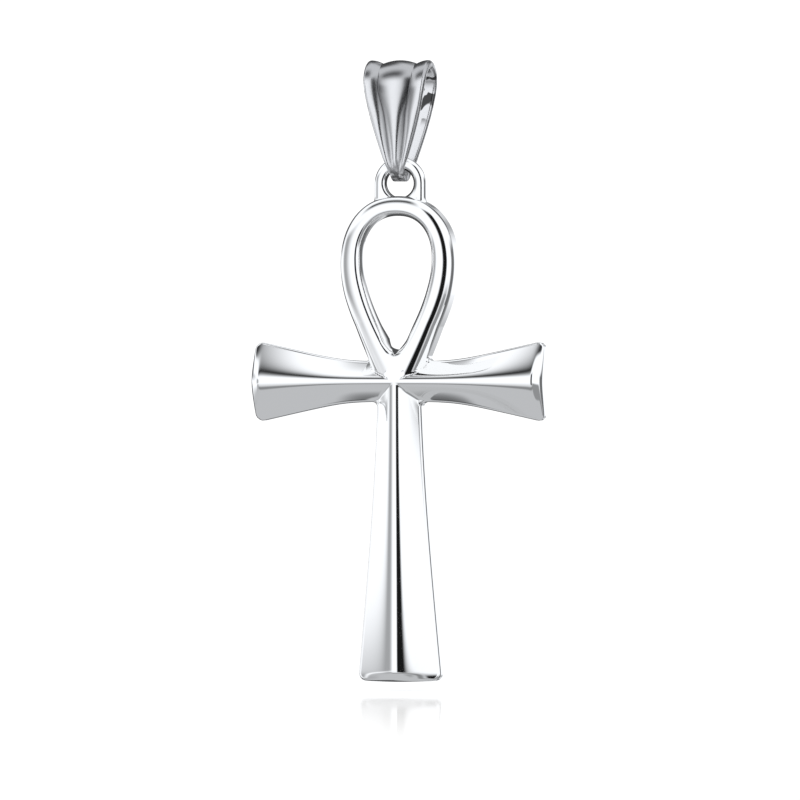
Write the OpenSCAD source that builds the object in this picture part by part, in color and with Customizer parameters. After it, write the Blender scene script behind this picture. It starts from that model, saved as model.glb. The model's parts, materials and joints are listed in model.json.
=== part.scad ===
// Ankh pendant hanging from a fluted bail.
// Lengths are in millimetres and angles in degrees. The front faces -Y and +Z is up.
// The origin is the chain's seat: the top of the hollow inside the bail.

/* [Ankh] */
// Reach of each arm, from the middle of the cross to its end
arm_reach = 11.22; // [9.5:0.02:14]
// Height of the crossbar where it meets the shaft
arm_root_h = 3.05; // [2.5:0.05:3.4]
// Height of the crossbar at its flared ends
arm_end_h = 6.15; // [4.5:0.05:7.5]
// Length of the shaft, from the middle of the cross to its foot
shaft_len = 22.5; // [18:0.05:28]
// Width of the shaft where it leaves the crossbar
shaft_root_w = 3.3; // [2.8:0.05:3.8]
// Width of the shaft at its flared foot
shaft_end_w = 6.45; // [4.5:0.05:7.5]
// Height of the loop, from the middle of the cross to its outer top
loop_len = 13.9; // [12.5:0.05:16]
// Outer width of the loop at its widest
loop_w = 8.9; // [8:0.05:10.5]
// Width of the loop's limb at the sides
limb_w = 1.85; // [1.6:0.05:2.3]
// Width of the loop's limb at the top
limb_top_w = 1.5; // [1.4:0.05:2]

/* [Relief] */
// Thickness from the flat back to the ridges of the cross
ridge_h = 2.7; // [2.3:0.05:3.2]
// Thickness from the flat back to the ridge at the top of the loop
loop_ridge_h = 2.35; // [2.2:0.05:3]
// Height of the loop's side walls, where its round front starts
loop_wall = 1.5; // [1.1:0.05:1.8]
// Height of the crossbar's side walls at the middle
arm_wall = 1.1; // [0.8:0.05:1.5]
// Height of the crossbar's side walls at its ends
arm_end_wall = 0.8; // [0.6:0.05:1.3]
// Height of the shaft's side walls at the crossbar
shaft_wall = 1.2; // [0.8:0.05:1.5]
// Height of the shaft's side walls at its foot
shaft_end_wall = 0.9; // [0.6:0.05:1.3]
// Length of the bevel that closes the end of an arm or the foot
bevel_len = 0.65; // [0.4:0.05:0.9]
// Drop of the ridge along that bevel
bevel_drop = 0.67; // [0.3:0.01:0.9]
// Radius of the corners at the ends of the arms and the foot, seen from the front
corner_r = 0.6; // [0.3:0.05:0.8]
// Crown of the ends of the arms and the foot, seen from the front
end_crown = 0.1; // [0.04:0.02:0.2]
// Softened edge between the facets and the side walls of the cross
edge_r = 0.14; // [0.08:0.02:0.25]
// How much wider the loop's opening is at the back than at the front, on each side
loop_draft = 0.35; // [0.1:0.05:0.45]
// How much the outside of the loop swells where it meets the crossbar
loop_swell = 0.5; // [0.2:0.05:0.7]

/* [Hanging ring] */
// Wire of the ring that is soldered on top of the loop
ring_wire = 0.96; // [0.8:0.02:1.1]
// Room between the ring and the bail's foot at each side
ring_play = 0.5; // [0.35:0.05:0.7]
// Running gap between the ring and the bail's foot
seat_gap = 0.08; // [0.06:0.01:0.15]
// Depth that the loop's top stands into the ring's hole
ring_bed = 0.06; // [0.03:0.01:0.12]
// Reach of the solder round the ring's legs
solder = 0.24; // [0.1:0.02:0.35]

/* [Bail] */
// Length of the hollow, from the chain's seat down to the ring's seat
bail_hollow = 7.48; // [6.5:0.02:9]
// Wall between the hollow and the crests of the ribs
bail_wall = 0.82; // [0.65:0.01:0.95]
// Depth of the hollow from front to back at its round top
bail_top_gap = 3.06; // [2.7:0.02:3.8]
// Depth of the hollow from front to back at its round foot
bail_foot_gap = 2.16; // [1.9:0.02:2.6]
// Width of the bail at its top
bail_top_w = 4.9; // [4.2:0.1:6]
// Width of the bail at its foot
bail_foot_w = 1.05; // [0.9:0.05:1.2]
// Depth of the two grooves at the top of the bail
groove_depth = 0.26; // [0.15:0.01:0.35]

/* [Hidden] */

// Smoothness of the exact round parts
$fn = 64;
// Share of the crossbar's and the shaft's length at which they start to flare, and how softly
arm_flare = [0.38, 0.08];
shaft_flare = [0.2, 0.2];
// Softness of the ridges of the crossbar and the shaft, at their roots and at their ends
arm_soft = [0.5, 0.75];
shaft_soft = [0.75, 0.45];
// Height of the loop's widest place, as a share of its centreline's height
loop_wide_at = 0.684;
// Spread of the loop's two limbs where they leave the middle of the cross, from the upright
loop_splay = 29;
// Fullness of the loop's shoulders: 2 is an ellipse, more is squarer
loop_full = 2.2;
// Shift of the loop's ridge towards its opening, as a share of half the limb's width
loop_lean = 0.3;
// Share of the height up to the loop's widest place from which its limb gets thinner
loop_thin_at = 0.75;
// Share of the height up to the loop's widest place that has the swell, and how it fades
swell_end = 0.5;
swell_fade = 1.2;
// Shares of the facet's width, from the ridge to the edge, where a section has its points
facet_at = [0, 0.12, 0.28, 0.5, 0.75, 1];
// Angles round the loop's elliptic front, from the ridge to the wall, where its section has its points
dome_at = [0, 14, 29, 45, 62, 78, 90];
// Shares of an end's corner radius where a section lies
corner_at = [0, 0.45, 0.8, 0.95, 1];
// Spare depth behind the flat back, which is cut away
back_spare = 0.4;
// Sections along an arm, the shaft, one side of the loop and one half of its round top
arm_steps = 9;
shaft_steps = 10;
side_steps = 9;
top_steps = 9;
// The shaft's ridge passes this far under the crossbar's, and the loop's passes this far under the shaft's
ridge_step = 0.02;
// How far the roots of the shaft and the loop reach into the crossbar
root_in = 0.5;
// Height of the solder cones in their own reach
solder_rise = 2;
// Sections round the bail's top and foot, and along each of its leaves
bail_top_steps = 12;
bail_foot_steps = 8;
leaf_steps = 6;
// The lowest share of the bail's height that keeps the width of its foot
bail_waist = 0.05;
// How late the grooves fade towards the foot, how much deeper they get on the way there, and how much steeper
// the outer rib falls to its edge
groove_fade = 3;
groove_dig = 1.6;
rib_steep = 8;
// Across half the bail: where the groove lies and where the outer rib is highest
groove_at = 0.53;
rib_at = 0.9;
// Shares of half the bail's width where its outer face has points, from its edge to the middle
rib_points = [1, 0.96, 0.9, 0.78, 0.65, 0.53, 0.42, 0.28, 0.14, 0];
// Shares of half the bail's width where the face of its hollow has points
crown_points = [1, 0.6, 0, -0.6, -1];

// The ring hangs on the bail's foot, and the loop hangs on the ring
ring_hole = bail_foot_w + 2 * ring_play;
ring_r = (ring_hole + ring_wire) / 2;
pivot_z = -bail_hollow + seat_gap + ring_wire / 2;
ring_z = pivot_z - ring_r;
loop_top_z = ring_z - ring_hole / 2 + ring_bed;
leg_z = loop_top_z - limb_top_w / 2;
cross_z = loop_top_z - loop_len;
// The ring's wire is flush with the ankh's flat back, apart from its polish
back_y = ring_wire / 2 + edge_r;
// Centreline of the loop
loop_half = (loop_w - limb_w) / 2;
loop_rise = loop_len - limb_top_w / 2;
wide_z = loop_rise * loop_wide_at;
thin_z = wide_z * loop_thin_at;
loop_lead = tan(loop_splay) * wide_z / loop_half;
// The bail's hollow between its two round ends
top_r = bail_top_gap / 2;
foot_r = bail_foot_gap / 2;
leaf_tilt = -asin((top_r - foot_r) / (bail_hollow - top_r - foot_r));
bail_h = bail_hollow + 2 * bail_wall;

// Smooth bend from a level line into a rising one
function bend(x) = ln(1 + exp(x));
function flare(s, f) =
    (bend((s - f[0]) / f[1]) - bend(-f[0] / f[1])) / (bend((1 - f[0]) / f[1]) - bend(-f[0] / f[1]));
function mix(a, b, s) = a + (b - a) * s;
// Fall of a soft ridge at share u of the facet's width, 0 on its crest and 1 at the facet's edge
function fall(u, soft) = (norm([u, soft]) - soft) / (norm([1, soft]) - soft);

// Section of a faceted limb as points [across, height above the back], from one wall over the ridge to the
// other. The ridge is rounded over the length soft.
function facet_section(half, wall, ridge, soft) =
    let (
        reach = half - edge_r,
        right = [for (u = facet_at) [u * reach, mix(ridge, wall, fall(u, soft / reach))]]
    )
    concat(
        [[-half, -back_spare], [-half, wall - edge_r]],
        [for (i = [len(right) - 1:-1:1]) [-right[i][0], right[i][1]]],
        right,
        [[half, wall - edge_r], [half, -back_spare]]
    );

// Section of the loop's limb, whose round front is highest off its middle. Its outer wall swells by swell, and
// its inner wall leans in towards the back.
function dome_section(half, ridge, swell) =
    let (
        crest = loop_lean * half,
        first = -half - swell
    )
    concat(
        [[first, -back_spare]],
        [for (i = [len(dome_at) - 1:-1:1])
            [mix(crest, first, sin(dome_at[i])), mix(loop_wall, ridge, cos(dome_at[i]))]],
        [for (t = dome_at) [mix(crest, half, sin(t)), mix(loop_wall, ridge, cos(t))]],
        [[half - loop_draft * (1 + back_spare / loop_wall), -back_spare]]
    );

// A section set at x and z, with its across direction turned by angle a in the pendant's plane
function limb_ring(section, x, z, a) =
    [for (p = section) [x + p[0] * cos(a), back_y - p[1], z + p[0] * sin(a)]];

// Share of the closing bevel that is done, a distance d before the end
function near_end(d) = max(0, 1 - d / bevel_len);

// How much an end's corner takes off half the width, a distance d before the end
function corner_cut(d) = d >= corner_r ? 0 : corner_r - sqrt(pow(corner_r, 2) - pow(corner_r - d, 2));

// Places along a flared limb from its root to its end, close together round the corner
function limb_places(length, steps) = concat(
    [for (i = [1:steps - 1]) i / steps * (length - bevel_len)],
    [length - bevel_len],
    [for (c = corner_at) length - corner_r * (1 - c)]
);

// Ring of a flared limb that starts from the middle of the cross, a distance d along direction a
function flared_ring(d, length, root, end, f, soft, wall, end_wall, ridge, a) =
    let (
        far = abs(d),
        half = mix(root, end, flare(far / length, f)) / 2 - corner_cut(length - far),
        crest = ridge - bevel_drop * near_end(length - far)
    )
    [for (q = facet_section(half, mix(wall, end_wall, far / length), crest, mix(soft[0], soft[1], far / length)))
        let (
            way = d - sign(d) * end_crown * near_end(length - far) * pow(q[0] / half, 2)
        )
        [way * cos(a) - q[0] * sin(a), back_y - q[1], cross_z + way * sin(a) + q[0] * cos(a)]];

// Solid through a list of rings, closed on itself or capped at both ends
module loft(rings, closed = false) {
    n = len(rings[0]);
    count = len(rings);
    spans = closed ? count : count - 1;
    sides = [for (k = [0:spans - 1], i = [0:n - 1], half = [0, 1])
        let (
            a = k * n + i,
            b = k * n + (i + 1) % n,
            c = (k + 1) % count * n + (i + 1) % n,
            d = (k + 1) % count * n + i
        )
        half == 0 ? [a, b, c] : [a, c, d]];
    // A cap is a fan of triangles round a point in the middle of its ring
    middle = [for (r = [rings[0], rings[count - 1]])
        [for (k = [0:2]) [for (p = r) p[k]] * [for (p = r) 1 / n]]];
    caps = closed ? [] : [for (i = [0:n - 1])
        let (j = (i + 1) % n, top = (count - 1) * n)
        each [[count * n, j, i], [count * n + 1, top + i, top + j]]];
    polyhedron(concat([for (r = rings) each r], closed ? [] : middle), concat(sides, caps), convexity = 6);
}

// Centreline of the loop above the middle of the cross: [x, z] on its right side
function side_point(v) = [
    loop_half * (loop_lead * v + (3 - 2 * loop_lead) * pow(v, 2) + (loop_lead - 2) * pow(v, 3)),
    wide_z * v
];
function top_point(t) = [
    loop_half * pow(max(0, cos(t)), 2 / loop_full),
    wide_z + (loop_rise - wide_z) * pow(sin(t), 2 / loop_full)
];

// Both arms in one, from the left end to the right end
module crossbar() {
    right = limb_places(arm_reach, arm_steps);
    left = [for (i = [len(right) - 1:-1:0]) -right[i]];
    loft([for (x = concat(left, [0], right))
        flared_ring(x, arm_reach, arm_root_h, arm_end_h, arm_flare, arm_soft, arm_wall, arm_end_wall,
            ridge_h, 0)]);
}

// The shaft, whose root lies inside the crossbar
module shaft() {
    ridge = ridge_h - ridge_step;
    root = flared_ring(0, shaft_len, shaft_root_w, shaft_end_w, shaft_flare, shaft_soft, shaft_wall,
        shaft_end_wall, ridge - root_in, -90);
    loft(concat(
        [[for (p = root) p + [0, 0, root_in]]],
        [for (d = concat([0], limb_places(shaft_len, shaft_steps)))
            flared_ring(d, shaft_len, shaft_root_w, shaft_end_w, shaft_flare, shaft_soft, shaft_wall,
                shaft_end_wall, ridge, -90)]
    ));
}

// The right half of the loop, from inside the crossbar up its side and round to the middle of its top
module half_loop() {
    start = side_point(0.5 / side_steps);
    line = concat(
        [-start * root_in / norm(start)],
        [for (i = [0:side_steps - 1]) side_point(i / side_steps)],
        [for (i = [0:top_steps]) top_point(90 * i / top_steps)],
        [let (p = top_point(90 * (1 - 1 / top_steps))) [-p[0], p[1]]]
    );
    loft([for (i = [0:len(line) - 2])
        let (
            p = line[i],
            way = line[i + 1] - line[max(i - 1, 0)],
            rise = min(1, p[1] / wide_z),
            thin = max(0, (p[1] - thin_z) / (loop_rise - thin_z)),
            ridge = mix(ridge_h, loop_ridge_h, max(0, rise)) - 2 * ridge_step + min(0, p[1]),
            swell = loop_swell * pow(max(0, 1 - p[1] / (wide_z * swell_end)), swell_fade)
        )
        limb_ring(
            dome_section(mix(limb_w, limb_top_w, thin) / 2, ridge, swell),
            p[0], cross_z + p[1], atan2(way[1], way[0]) + 90)]);
}

// The ring and its two straight legs, whose lower ends are soldered into the top of the loop
module hanging_ring() {
    translate([0, 0, ring_z]) rotate([90, 0, 0])
        rotate_extrude() translate([ring_r, 0]) circle(d = ring_wire);
    for (side = [-1, 1])
        translate([side * ring_r, 0, leg_z]) cylinder(d = ring_wire, h = ring_z - leg_z);
}

// The solder round the feet of the legs
module solder_cones() {
    for (side = [-1, 1])
        translate([side * ring_r, 0, leg_z])
            cylinder(d1 = ring_wire + 2 * solder, d2 = ring_wire, h = solder_rise * solder);
}

module ankh() {
    color("silver") {
        intersection() {
            union() {
                crossbar();
                shaft();
                half_loop();
                mirror([1, 0, 0]) half_loop();
                solder_cones();
            }
            translate([-2 * arm_reach, back_y - 2 * ridge_h, cross_z - 2 * shaft_len])
                cube([4 * arm_reach, 2 * ridge_h, 3 * shaft_len + 2 * loop_len]);
        }
        hanging_ring();
    }
}

// Depth of the fluted face below the ribs' crests at share u of half the width
function groove(u) =
    u < groove_at ? pow(u / groove_at, 2)
    : pow((rib_at - u) / (rib_at - groove_at), 2) * (u > rib_at ? rib_steep : 1);

// The bail's hollow, seen from the side: [y, z, direction of the wall], once round
function bail_line() = concat(
    [for (i = [0:bail_top_steps])
        let (a = mix(leaf_tilt, 180 - leaf_tilt, i / bail_top_steps))
        [top_r * cos(a), -top_r + top_r * sin(a), a]],
    leaf_line(180 - leaf_tilt, 1),
    [for (i = [0:bail_foot_steps])
        let (a = mix(180 - leaf_tilt, 360 + leaf_tilt, i / bail_foot_steps))
        [foot_r * cos(a), -bail_hollow + foot_r + foot_r * sin(a), a]],
    leaf_line(leaf_tilt, -1)
);
function leaf_line(a, way) = [for (i = [1:leaf_steps - 1])
    let (
        s = way > 0 ? i / leaf_steps : 1 - i / leaf_steps,
        r = mix(top_r, foot_r, s)
    )
    [r * cos(a), mix(-top_r, foot_r - bail_hollow, s) + r * sin(a), a]];

// Curve of the ring's hole at a distance x from its middle, which the face of the hollow keeps away from
function seat_crown(x) = ring_hole / 2 - sqrt(pow(ring_hole / 2, 2) - pow(x, 2));

// Spread of the bail at height z, 0 at its foot and 1 at its top
function bail_spread(z) =
    let (s = (z + bail_hollow + bail_wall) / bail_h)
    sin(90 * max(0, (s - bail_waist) / (1 - bail_waist)));

// Section of the bail's band, whose grooves fade out at its foot
function bail_section(spread) =
    let (
        half = mix(bail_foot_w, bail_top_w, spread) / 2,
        depth = groove_depth * (1 + groove_dig * (1 - spread)) * (1 - pow(1 - spread, groove_fade))
    )
    concat(
        [for (u = rib_points) [-u * half, bail_wall - depth * groove(u)]],
        [for (i = [len(rib_points) - 2:-1:0])
            [rib_points[i] * half, bail_wall - depth * groove(rib_points[i])]],
        [for (u = crown_points) [u * half, seat_crown(u * bail_foot_w / 2)]]
    );

module bail() {
    color("gainsboro")
        loft([for (p = bail_line())
            [for (q = bail_section(bail_spread(p[1] + bail_wall * sin(p[2]))))
                [q[0], p[0] + q[1] * cos(p[2]), p[1] + q[1] * sin(p[2])]]], closed = true);
}

bail();
ankh();
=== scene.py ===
"""Looks of the ankh pendant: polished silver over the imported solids, hung in a plain pale studio.

Sizes are in millimetres in the classes and become metres when a mesh is made. The front faces -Y, +Z is up
and the origin is the chain's seat inside the bail. The cross is worked out from the middle of its arms.
"""

import json
import logging
import math
from dataclasses import dataclass, field
from enum import Enum
from typing import Callable, Union

import bmesh
import bpy
import numpy as np
from bpy.types import ID, Material, Mesh, Node, NodeSocket, NodeTree, Object
from mathutils import Matrix, Vector
from mathutils.geometry import tessellate_polygon

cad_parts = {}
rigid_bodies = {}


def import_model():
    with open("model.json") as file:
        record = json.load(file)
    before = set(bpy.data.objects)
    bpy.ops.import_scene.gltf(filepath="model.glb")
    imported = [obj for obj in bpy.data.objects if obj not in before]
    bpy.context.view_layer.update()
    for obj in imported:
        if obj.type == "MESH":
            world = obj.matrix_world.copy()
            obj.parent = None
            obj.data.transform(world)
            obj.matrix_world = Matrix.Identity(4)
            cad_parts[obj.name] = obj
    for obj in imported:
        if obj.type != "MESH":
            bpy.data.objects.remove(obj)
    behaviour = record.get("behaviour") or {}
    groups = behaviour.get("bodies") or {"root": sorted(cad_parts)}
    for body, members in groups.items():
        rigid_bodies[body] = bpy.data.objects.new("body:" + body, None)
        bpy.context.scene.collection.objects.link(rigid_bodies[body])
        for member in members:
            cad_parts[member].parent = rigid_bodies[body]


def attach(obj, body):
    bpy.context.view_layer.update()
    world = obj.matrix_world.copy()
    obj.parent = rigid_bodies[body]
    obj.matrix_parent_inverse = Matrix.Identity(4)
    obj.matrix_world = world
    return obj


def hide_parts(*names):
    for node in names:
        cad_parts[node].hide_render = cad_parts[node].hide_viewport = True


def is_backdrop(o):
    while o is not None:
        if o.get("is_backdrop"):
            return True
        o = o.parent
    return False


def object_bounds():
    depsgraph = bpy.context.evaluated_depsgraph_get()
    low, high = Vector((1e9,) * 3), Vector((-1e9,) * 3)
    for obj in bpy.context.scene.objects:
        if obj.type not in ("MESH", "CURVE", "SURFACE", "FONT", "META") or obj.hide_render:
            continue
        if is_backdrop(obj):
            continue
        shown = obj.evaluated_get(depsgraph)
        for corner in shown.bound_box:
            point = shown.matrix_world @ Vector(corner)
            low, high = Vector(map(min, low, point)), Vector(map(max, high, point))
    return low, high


MM = 0.001
log = logging.getLogger("pendant")
Array = np.ndarray
Arrays = tuple[Array, Array]
Pair = tuple[float, float]
Colour = tuple[float, float, float, float]
Quantity = Union[np.ndarray, float, "Value"]


class Body(Enum):
    """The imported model's bodies, each with one node of the same name."""

    BAIL = "bail"
    ANKH = "ankh"


@dataclass(frozen=True)
class Plan:
    """Sizes that more than one piece follows, as the solids have them, and the places they lead to.

    The ring hangs seat_gap under the bail's foot, with ring_play at each side of it. The loop's top stands
    into the ring's hole by ring_bed.
    """

    loop_len: float = 13.9
    limb_top_w: float = 1.5
    ring_wire: float = 0.96
    ring_play: float = 0.5
    ring_bed: float = 0.06
    seat_gap: float = 0.08
    bail_hollow: float = 7.48
    bail_foot_w: float = 1.05

    @property
    def ring_hole(self) -> float:
        """Width of the ring's hole."""
        return self.bail_foot_w + 2 * self.ring_play

    @property
    def ring_z(self) -> float:
        """Height of the ring's middle, which hangs half a hole under the top of the bail's foot."""
        return -self.bail_hollow + self.seat_gap - self.ring_hole / 2

    @property
    def loop_top_z(self) -> float:
        """Height of the loop's outer top."""
        return self.ring_z - self.ring_hole / 2 + self.ring_bed

    @property
    def leg_z(self) -> float:
        """Height of the ring's feet, in the middle of the loop's limb."""
        return self.loop_top_z - self.limb_top_w / 2

    @property
    def cross_z(self) -> float:
        """Height of the middle of the cross."""
        return self.loop_top_z - self.loop_len


# Sums on arrays


def mix(a: Quantity, b: Quantity, share: Quantity) -> Quantity:
    """Returns a at share 0 and b at share 1."""
    return a + (b - a) * share


def ease(x: Array, low: float, high: float) -> Array:
    """Returns a smooth step from 0 at low to 1 at high."""
    t = np.clip((x - low) / (high - low), 0, 1)
    return t * t * (3 - 2 * t)


def soft_max(a: Array, b: Array, reach: Array) -> Array:
    """Returns the larger of a and b, rounded where they differ by less than reach."""
    near = np.maximum(reach - np.abs(a - b), 0) / reach
    return np.maximum(a, b) + near * near * reach / 4


def joined(a: Array, b: Array, radius: Array) -> Array:
    """Returns the depth inside two shapes joined with a fillet, from the depths inside each."""
    outside = np.maximum(radius, np.minimum(-a, -b))
    return np.hypot(np.maximum(radius + a, 0), np.maximum(radius + b, 0)) - outside


def trimmed(a: Array, b: Array, radius: float) -> Array:
    """Returns the depth inside what two shapes share, with a rounded corner, from the depths inside each."""
    inside = np.maximum(radius, np.minimum(a, b))
    return inside - np.hypot(np.maximum(radius - a, 0), np.maximum(radius - b, 0))


def slopes(height: Callable[[Array, Array], Array], x: Array, z: Array) -> Arrays:
    """Works out slopes by central differences.

    Args:
        height: A height at each place.
        x: Places across.
        z: Places up.

    Returns:
        The height's slopes along x and z.
    """
    step = 0.002
    along_x = (height(x + step, z) - height(x - step, z)) / (2 * step)
    return along_x, (height(x, z + step) - height(x, z - step)) / (2 * step)


# Nodes


def sum_method(operation: str, swapped: bool = False) -> Callable[["Value", Quantity], "Value"]:
    """Makes a method that adds a Math node.

    Args:
        operation: The node's operation.
        swapped: Whether the value itself is the second operand.

    Returns:
        The method, which takes the other operand.
    """

    def method(self: "Value", other: Quantity) -> "Value":
        """Adds the node on this value and the other operand."""
        return self.maker.math(operation, *((other, self) if swapped else (self, other)))

    return method


class Value:
    """A node's output that takes part in sums: an expression on values adds its Math nodes."""

    def __init__(self, maker: "NodeMaker", socket: NodeSocket) -> None:
        """Wraps the socket of a node that maker made."""
        self.maker = maker
        self.socket = socket

    __add__ = sum_method("ADD")
    __radd__ = sum_method("ADD", swapped=True)
    __sub__ = sum_method("SUBTRACT")
    __rsub__ = sum_method("SUBTRACT", swapped=True)
    __mul__ = sum_method("MULTIPLY")
    __rmul__ = sum_method("MULTIPLY", swapped=True)
    __truediv__ = sum_method("DIVIDE")
    __pow__ = sum_method("POWER")
    at_least = sum_method("MAXIMUM")
    at_most = sum_method("MINIMUM")

    def __abs__(self) -> "Value":
        """Size of self without its sign."""
        return self.maker.math("ABSOLUTE", self)

    def ramp(self, low: float, high: float, smooth: bool = True) -> "Value":
        """Adds a rise between two ends.

        Args:
            low: Where it starts.
            high: Where it ends.
            smooth: Whether it is smooth or straight.

        Returns:
            0 up to low, 1 from high on, and the rise between.
        """
        ends = {"Value": self, "From Min": low, "From Max": high, "To Min": 0.0, "To Max": 1.0}
        kind = "SMOOTHSTEP" if smooth else "LINEAR"
        return self.maker.value("ShaderNodeMapRange", ends, "Result", interpolation_type=kind, clamp=True)

    def band(self, low: float, high: float, low_soft: float, high_soft: float) -> "Value":
        """1 from low to high and 0 outside, with a smooth edge of the given width centred on each."""
        rise = self.ramp(low - low_soft / 2, low + low_soft / 2)
        return rise * (1 - self.ramp(high - high_soft / 2, high + high_soft / 2))


@dataclass
class NodeMaker:
    """Makes the nodes of one tree, a material's or a Geometry Nodes tree."""

    tree: NodeTree

    def node(self, kind: str, values: dict | None = None, **settings: object) -> Node:
        """Adds a node.

        Args:
            kind: The node's type.
            values: Numbers or links for its sockets, by name or index.
            settings: The node's own properties, which are set first.

        Returns:
            The new node.
        """
        node = self.tree.nodes.new(kind)
        for key, setting in settings.items():
            setattr(node, key, setting)
        for key, value in (values or {}).items():
            if isinstance(value, Value):
                self.tree.links.new(value.socket, node.inputs[key])
            else:
                node.inputs[key].default_value = value
        return node

    def value(self, kind: str, values: dict | None = None, out: str | int = 0, **settings: object) -> Value:
        """Adds a node and returns one of its outputs, named by out."""
        return Value(self, self.node(kind, values, **settings).outputs[out])

    def math(self, operation: str, *operands: Value | float) -> Value:
        """Adds a Math node on its operands."""
        return self.value("ShaderNodeMath", dict(enumerate(operands)), operation=operation)

    def distance(self, x: Value, y: Value) -> Value:
        """Returns how far x and y are from 0 together."""
        return self.math("SQRT", x * x + y * y)

    def parts(self, vector: Value) -> list[Value]:
        """Returns the x, y and z of a vector."""
        return [Value(self, part) for part in self.node("ShaderNodeSeparateXYZ", {0: vector}).outputs]

    def vector(self, x: Value | float, y: Value | float, z: Value | float) -> Value:
        """Returns a vector of three numbers."""
        return self.value("ShaderNodeCombineXYZ", {0: x, 1: y, 2: z})

    def place(self) -> Value:
        """Returns the Object coordinates."""
        return self.value("ShaderNodeTexCoord", out="Object")

    def noise(self, place: Value, scale: float, detail: float, distortion: float = 0.0) -> Value:
        """Returns a noise over a place, between 0 and 1."""
        values = {"Vector": place, "Scale": scale, "Detail": detail, "Distortion": distortion}
        return self.value("ShaderNodeTexNoise", values, "Fac")

    def mixed(self, a: Value | Colour, b: Value | Colour, share: Value) -> Value:
        """Returns colour a at share 0 and colour b at share 1."""
        return self.value("ShaderNodeMix", {"Factor": share, 6: a, 7: b}, 2, data_type="RGBA")

    def end(self, shader: Value) -> None:
        """Ends a material's tree with its shader."""
        self.node("ShaderNodeOutputMaterial", {0: shader})

    def end_metal(self, colour: Value | Colour, rough: Value) -> None:
        """Ends a material's tree with a metal."""
        metal = {"Base Color": colour, "Metallic": 1.0, "Roughness": rough}
        self.end(self.value("ShaderNodeBsdfPrincipled", metal))


def new_material(name: str) -> tuple[Material, NodeMaker]:
    """Makes a material whose tree is empty.

    Args:
        name: Name of the material.

    Returns:
        The material and the maker of its nodes.
    """
    material = bpy.data.materials.new(name)
    material.use_nodes = True
    material.node_tree.nodes.clear()
    return material, NodeMaker(material.node_tree)


def add_object(name: str, data: ID) -> Object:
    """Adds an object to the scene.

    Args:
        name: Name of the object.
        data: Its mesh or camera.

    Returns:
        The new object.
    """
    made = bpy.data.objects.new(name, data)
    bpy.context.scene.collection.objects.link(made)
    return made


@dataclass
class GrowingTree:
    """A Geometry Nodes tree with named sizes, whose end realizes instances and sets the material."""

    name: str
    sizes: dict[str, float]

    def __post_init__(self) -> None:
        """Makes the tree's sockets and its input node."""
        self.tree = bpy.data.node_groups.new(self.name, "GeometryNodeTree")
        self.maker = NodeMaker(self.tree)
        face = self.tree.interface
        face.new_socket("Geometry", in_out="INPUT", socket_type="NodeSocketGeometry")
        self.ids = {
            size: face.new_socket(size, in_out="INPUT", socket_type="NodeSocketFloat").identifier
            for size in self.sizes
        }
        face.new_socket("Geometry", in_out="OUTPUT", socket_type="NodeSocketGeometry")
        self.entry = self.maker.node("NodeGroupInput")

    def size(self, name: str) -> Value:
        """Returns a named size, or under the name Geometry what the tree starts from."""
        return Value(self.maker, self.entry.outputs[name])

    def grow(self, piece: str, shape: Value, material: Material, start: Mesh | None = None) -> Object:
        """Ends the tree, runs it and keeps its result as a plain mesh.

        Args:
            piece: Name of the new object.
            shape: The geometry that the tree has worked out.
            material: The material that it gets.
            start: The mesh that the tree starts from, or None where it needs none.

        Returns:
            The new object, in metres.
        """
        smooth = self.maker.value("GeometryNodeSetShadeSmooth", {"Geometry": shape})
        real = self.maker.value("GeometryNodeRealizeInstances", {"Geometry": smooth})
        dressed = self.maker.value("GeometryNodeSetMaterial", {"Geometry": real, "Material": material})
        self.maker.node("NodeGroupOutput", {"Geometry": dressed})
        holder = add_object(piece, start or bpy.data.meshes.new(piece + "_start"))
        modifier = holder.modifiers.new(self.name, "NODES")
        modifier.node_group = self.tree
        for size, value in self.sizes.items():
            modifier[self.ids[size]] = float(value)
        bpy.context.view_layer.update()
        graph = bpy.context.evaluated_depsgraph_get()
        mesh = bpy.data.meshes.new_from_object(holder.evaluated_get(graph))
        holder.modifiers.remove(modifier)
        mesh.transform(Matrix.Scale(MM, 4))
        mesh.name = piece
        holder.data = mesh
        return holder


# Finishes


@dataclass(frozen=True)
class Silver:
    """Polished sterling silver with small marks, and with painted shade round a hole if it has one.

    The hole is the place across and the height of its middle, in millimetres. The painted shade fades out
    between the distances of hole_r from there.
    """

    name: str = "polished_silver"
    colour: Colour = (0.95, 0.95, 0.945, 1.0)
    # near-black colour of the painted shade round a hole
    hole_shade: Colour = (0.05, 0.05, 0.05, 1.0)
    polish: float = 0.05
    wear: float = 0.05
    marks: Pair = (0.45, 0.75)
    hole: Pair | None = None
    hole_r: Pair = (1.08, 1.3)

    def material(self) -> Material:
        """Makes the finish's nodes.

        Returns:
            The finish as a material.
        """
        material, m = new_material(self.name)
        place = m.place()
        marks = m.noise(place, scale=900.0, detail=3.0).ramp(*self.marks)
        colour: Value | Colour = self.colour
        if self.hole is not None:
            x, _, z = m.parts(place)
            far = m.distance(x / MM - self.hole[0], z / MM - self.hole[1])
            # painted shade: the silver turns near-black round the hole
            colour = m.mixed(self.hole_shade, colour, far.ramp(*self.hole_r))
        m.end_metal(colour, self.polish + self.wear * marks)
        return material


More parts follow.
